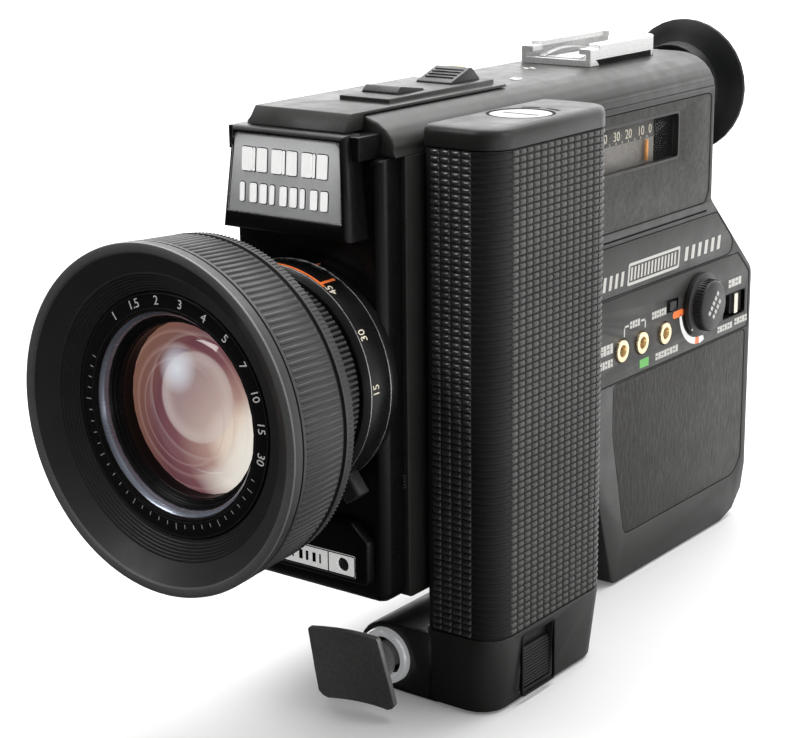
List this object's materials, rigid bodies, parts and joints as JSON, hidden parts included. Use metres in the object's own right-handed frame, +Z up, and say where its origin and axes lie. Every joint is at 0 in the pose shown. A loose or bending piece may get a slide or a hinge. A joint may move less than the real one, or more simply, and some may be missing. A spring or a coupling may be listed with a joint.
{
  "type": "cine camera",
  "caption": "Sound cine camera with a ribbed-hood zoom lens, a battery grip that folds up beside the body, zoom buttons on the roof and a film chamber door.",
  "frame": {"origin": "On the flat base of the film chamber, in the plane of the lens axis, at the base plate's level.", "axes": "+Z up, the lens looks along -Y, and +X is the side that the grip folds against."},
  "size_m": [0.0847, 0.2369, 0.151],
  "materials": {
    "casing": "satin",
    "front": "satin",
    "leatherette": "fine upright grain",
    "panel": "satin",
    "badge": "satin",
    "label": "satin",
    "bright_metal": "satin",
    "brass": "satin",
    "steel": "satin",
    "glass": "polished",
    "rubber": "matte",
    "lens_black": "black anodised",
    "button": "satin",
    "trigger": "gloss",
    "grip": "satin",
    "scale": "matte",
    "needle": "satin",
    "cartridge": "matte",
    "cell": "gloss"
  },
  "bodies": {
    "camera_body": {"left_cover": "casing", "right_cover": "casing", "top_cover": "casing", "eyepiece_tube": "casing", "zoom_button_deck": "casing", "front_panel": "front", "nameplate_housing": "front", "mic_housing": "front", "hinge_bracket": "front", "name_badge": "badge", "mic_plate": "label", "upper_leatherette": "leatherette", "lower_leatherette": "leatherette", "trim_strip": "panel", "control_panel": "panel", "remote_jack": "brass", "mic_jack": "brass", "monitor_jack": "brass", "tripod_bush": "brass", "accessory_shoe": "bright_metal", "eyepiece_lens": "glass", "rear_lens_group": "glass", "counter_window": "glass", "counter_scale": "scale", "film_gate": "steel", "drive_motor": "steel", "base_plate": "steel", "hinge_pin": "steel", "lens_barrel": "lens_black", "film_cartridge": "cartridge"},
    "eyecup": {"eyecup": "rubber"},
    "focus": {"focus_ring": "lens_black", "front_barrel": "lens_black", "front_lens": "glass", "lens_hood": "rubber"},
    "zoom": {"zoom_ring": "lens_black"},
    "macro": {"macro_lever": "button"},
    "tele": {"tele_button": "button"},
    "wide": {"wide_button": "button"},
    "dial": {"record_dial": "button"},
    "sound_switch": {"sound_switch": "button"},
    "lock": {"lock_button": "button"},
    "needle": {"counter_needle": "needle"},
    "door": {"film_door": "casing"},
    "door_latch": {"door_latch": "button"},
    "claw": {"pulldown_claw": "steel"},
    "spindle": {"take_up_spindle": "steel"},
    "capstan": {"capstan": "steel"},
    "pinion": {"motor_pinion": "brass"},
    "shutter": {"shutter": "steel"},
    "grip": {"grip_frame": "grip", "grip_sleeve": "rubber", "battery_pair_front": "cell", "battery_pair_middle": "cell", "battery_pair_rear": "cell", "trigger_collar": "bright_metal"},
    "cap": {"battery_cap": "grip"},
    "screw": {"coin_screw": "bright_metal"},
    "trigger": {"trigger": "trigger"},
    "grip_latch": {"grip_latch": "button"}
  },
  "joints": [
    {"name": "grip_fold", "type": "hinge", "parent": "camera_body", "child": "grip", "pos_m": [0.0123, -0.098, 0.0088], "axis": [0, 1, 0], "range_deg": [0, 180]},
    {"name": "cap_lift", "type": "slide", "parent": "grip", "child": "cap", "axis": [0, 0, 1], "range_m": [0, 0.012]},
    {"name": "cap_screw_turn", "type": "hinge", "parent": "cap", "child": "screw", "pos_m": [0.0344, -0.098, 0.1424], "axis": [0, 0, 1], "range_deg": [0, 90]},
    {"name": "trigger_press", "type": "slide", "parent": "grip", "child": "trigger", "axis": [0, 1, 0], "range_m": [0, 0.0025], "stiffness_N_per_m": 400},
    {"name": "grip_latch_slide", "type": "slide", "parent": "grip", "child": "grip_latch", "axis": [0, 0, 1], "range_m": [0, 0.003]},
    {"name": "focus_turn", "type": "hinge", "parent": "camera_body", "child": "focus", "pos_m": [0, -0.1638, 0.0836], "axis": [0, -1, 0], "range_deg": [0, 270]},
    {"name": "zoom_turn", "type": "hinge", "parent": "camera_body", "child": "zoom", "pos_m": [0, -0.145, 0.0836], "axis": [0, -1, 0], "range_deg": [-27, 28]},
    {"name": "macro_push", "type": "slide", "parent": "zoom", "child": "macro", "axis": [-0.6018, 0, 0.7986], "range_m": [0, 0.0015], "stiffness_N_per_m": 300},
    {"name": "tele_press", "type": "slide", "parent": "camera_body", "child": "tele", "axis": [0, 0, -1], "range_m": [0, 0.0008], "stiffness_N_per_m": 600},
    {"name": "wide_press", "type": "slide", "parent": "camera_body", "child": "wide", "axis": [0, 0, -1], "range_m": [0, 0.0008], "stiffness_N_per_m": 600},
    {"name": "dial_turn", "type": "hinge", "parent": "camera_body", "child": "dial", "pos_m": [0.0233, 0.0139, 0.0726], "axis": [1, 0, 0], "range_deg": [-60, 60]},
    {"name": "sound_switch_slide", "type": "slide", "parent": "camera_body", "child": "sound_switch", "axis": [0, 1, 0], "range_m": [-0.0055, 0]},
    {"name": "lock_slide", "type": "slide", "parent": "camera_body", "child": "lock", "axis": [0, 1, 0], "range_m": [0, 0.0017]},
    {"name": "counter_advance", "type": "slide", "parent": "camera_body", "child": "needle", "axis": [0, 1, 0], "range_m": [-0.04, 0.0045]},
    {"name": "eyecup_turn", "type": "hinge", "parent": "camera_body", "child": "eyecup", "pos_m": [0, 0.04, 0.131], "axis": [0, 1, 0], "range_deg": [-180, 180]},
    {"name": "door_swing", "type": "hinge", "parent": "camera_body", "child": "door", "pos_m": [-0.0233, -0.029, 0.05], "axis": [0, 0, 1], "range_deg": [0, 100]},
    {"name": "door_latch_slide", "type": "slide", "parent": "door", "child": "door_latch", "axis": [0, 0, -1], "range_m": [0, 0.003]},
    {"name": "claw_stroke", "type": "slide", "parent": "camera_body", "child": "claw", "axis": [0, 0, 1], "range_m": [0, 0.0042]},
    {"name": "spindle_spin", "type": "hinge", "parent": "camera_body", "child": "spindle", "pos_m": [0.006, 0.006, 0.046], "axis": [1, 0, 0], "continuous": true},
    {"name": "capstan_spin", "type": "hinge", "parent": "camera_body", "child": "capstan", "pos_m": [0.009, -0.014, 0.022], "axis": [1, 0, 0], "continuous": true},
    {"name": "shutter_spin", "type": "hinge", "parent": "camera_body", "child": "shutter", "pos_m": [-0.001, -0.0505, 0.067], "axis": [0, 1, 0], "continuous": true},
    {"name": "pinion_spin", "type": "hinge", "parent": "camera_body", "child": "pinion", "pos_m": [-0.001, -0.0505, 0.0501], "axis": [0, 1, 0], "continuous": true}
  ],
  "couplings": [
    {"joint": "pinion_spin", "follows": "shutter_spin", "ratio": -3}
  ]
}
